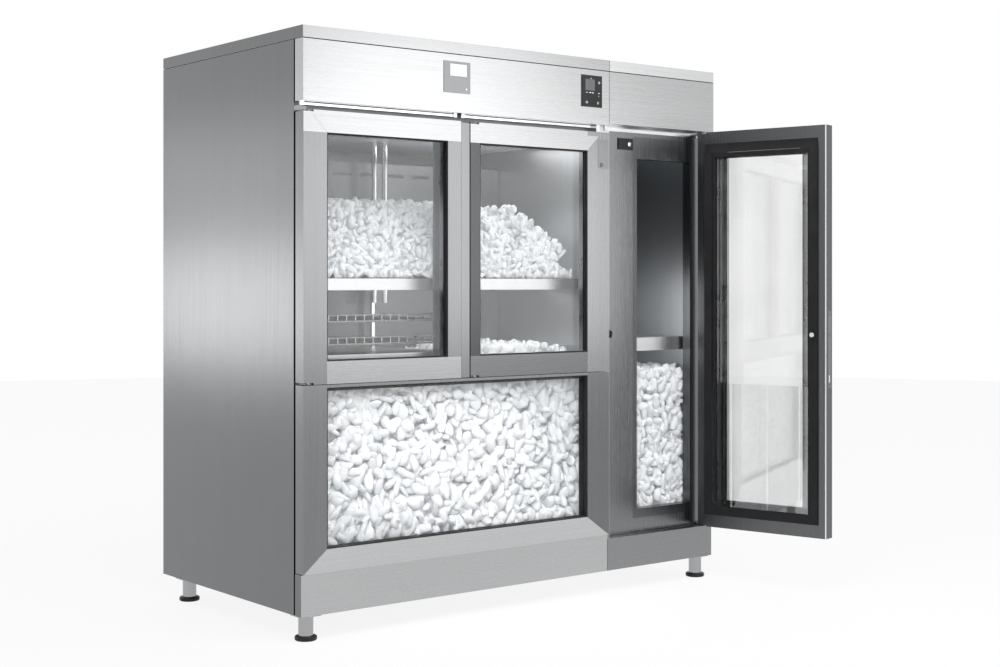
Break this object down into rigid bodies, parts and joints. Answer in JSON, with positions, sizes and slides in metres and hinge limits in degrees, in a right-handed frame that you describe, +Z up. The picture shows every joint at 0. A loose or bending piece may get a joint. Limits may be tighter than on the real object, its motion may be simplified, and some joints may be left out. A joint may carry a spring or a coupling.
{
  "type": "ice merchandiser freezer",
  "caption": "Glass-door ice merchandiser freezer in brushed steel: swinging doors over a glazed ice bin, a tall side door, door locks, shelves and an internal refrigeration unit.",
  "frame": {"origin": "middle of the bounding box's footprint, with the tall door standing open as at rest, at floor level under the foot pads", "axes": "+X to the right when facing the doors, +Y from the doors towards the back, +Z up"},
  "size_m": [2.0134, 1.5348, 2.01],
  "materials": {
    "stainless": "brushed along one direction",
    "inner_steel": "satin",
    "white_sheet": "satin",
    "dark_frame": "satin",
    "seal": "matt",
    "black_plastic": "matt",
    "bright_steel": "polished",
    "glass": "clear",
    "clear_plastic": "clear",
    "ice": "wet and glossy",
    "fins": "mill finish",
    "copper": "drawn copper",
    "enamel": "gloss black",
    "plate": "matt"
  },
  "bodies": {
    "cabinet": {"side_panel_left": "stainless", "side_panel_right": "stainless", "partition_panels": "inner_steel", "back_panels": "stainless", "insulated_decks": "white_sheet", "base_frame": "dark_frame", "top_caps": "stainless", "header_left": "stainless", "header_right": "stainless", "plinths": "stainless", "front_frame_left": "dark_frame", "front_frame_right": "stainless", "opening_profile": "black_plastic", "panel_seals": "seal", "mullion_strip": "stainless", "head_rails": "bright_steel", "pivot_brackets": "dark_frame", "pivot_pins": "bright_steel", "lower_window_frame": "stainless", "lower_window_glass": "glass", "lower_window_seal": "seal", "plenum_wall": "inner_steel", "shelves": "inner_steel", "shelf_supports": "bright_steel", "wire_racks": "bright_steel", "bin_plate": "inner_steel", "ice_on_shelf": "ice", "ice_in_bins": "ice", "badge_plate": "plate", "controller_body": "black_plastic", "switch_box": "black_plastic", "compressor": "enamel", "condenser": "fins", "evaporator": "fins", "refrigerant_pipes": "copper", "cable_gland": "black_plastic", "legs": "bright_steel", "foot_pads": "black_plastic"},
    "left_door": {"left_door_frame": "stainless", "left_door_glass": "glass", "left_door_seals": "seal"},
    "right_door": {"right_door_frame": "stainless", "right_door_glass": "glass", "right_door_seals": "seal", "lock_plate": "bright_steel"},
    "lock_cylinder": {"lock_cylinder": "bright_steel"},
    "lock_bolt": {"lock_bolt": "bright_steel"},
    "tall_door": {"tall_door_frame": "stainless", "tall_door_glass": "glass", "tall_door_seals": "seal", "lock_case_plate": "inner_steel", "ice_guard": "clear_plastic"},
    "thumb_turn": {"thumb_turn": "bright_steel"},
    "deadbolt": {"deadbolt": "bright_steel"},
    "switch_plunger": {"switch_plunger": "bright_steel"},
    "button_left": {"button_left": "plate"},
    "button_right": {"button_right": "plate"},
    "button_top": {"button_top": "plate"},
    "condenser_fan": {"condenser_fan": "black_plastic"},
    "evaporator_fan": {"evaporator_fan": "black_plastic"}
  },
  "joints": [
    {"name": "left_door_hinge", "type": "hinge", "parent": "cabinet", "child": "left_door", "pos_m": [-0.98266, -0.23959, 1.288], "axis": [0, 0, 1], "range_deg": [-100, 0]},
    {"name": "right_door_hinge", "type": "hinge", "parent": "cabinet", "child": "right_door", "pos_m": [-0.30266, -0.23959, 1.288], "axis": [0, 0, 1], "range_deg": [-100, 0]},
    {"name": "tall_door_hinge", "type": "hinge", "parent": "cabinet", "child": "tall_door", "pos_m": [0.86984, -0.23959, 0.987], "axis": [0, 0, 1], "range_deg": [-104, 11]},
    {"name": "lock_cylinder_turn", "type": "hinge", "parent": "right_door", "child": "lock_cylinder", "pos_m": [0.29234, -0.23759, 1.614], "axis": [0, 1, 0], "range_deg": [0, 90]},
    {"name": "lock_bolt_slide", "type": "slide", "parent": "right_door", "child": "lock_bolt", "axis": [0, 0, 1], "range_m": [0, 0.012]},
    {"name": "thumb_turn_turn", "type": "hinge", "parent": "tall_door", "child": "thumb_turn", "pos_m": [0.97031, -0.71284, 0.976], "axis": [-0.9703, -0.2419, 0], "range_deg": [0, 90]},
    {"name": "deadbolt_slide", "type": "slide", "parent": "tall_door", "child": "deadbolt", "axis": [0.2419, -0.9703, 0], "range_m": [0, 0.011]},
    {"name": "switch_plunger_slide", "type": "slide", "parent": "cabinet", "child": "switch_plunger", "axis": [0, 1, 0], "range_m": [0, 0.004], "stiffness_N_per_m": 500},
    {"name": "button_left_slide", "type": "slide", "parent": "cabinet", "child": "button_left", "axis": [0, 1, 0], "range_m": [0, 0.0012], "stiffness_N_per_m": 800},
    {"name": "button_right_slide", "type": "slide", "parent": "cabinet", "child": "button_right", "axis": [0, 1, 0], "range_m": [0, 0.0012], "stiffness_N_per_m": 800},
    {"name": "button_top_slide", "type": "slide", "parent": "cabinet", "child": "button_top", "axis": [0, 1, 0], "range_m": [0, 0.0012], "stiffness_N_per_m": 800},
    {"name": "condenser_fan_spin", "type": "hinge", "parent": "cabinet", "child": "condenser_fan", "pos_m": [-0.24666, 0.15441, 1.859], "axis": [0, 1, 0], "continuous": true},
    {"name": "evaporator_fan_spin", "type": "hinge", "parent": "cabinet", "child": "evaporator_fan", "pos_m": [-0.41666, 0.59041, 1.445], "axis": [0, 1, 0], "continuous": true}
  ],
  "couplings": [
    {"joint": "lock_cylinder_turn", "follows": "lock_bolt_slide", "rad_per_m": 130.9},
    {"joint": "thumb_turn_turn", "follows": "deadbolt_slide", "rad_per_m": 142.8}
  ]
}
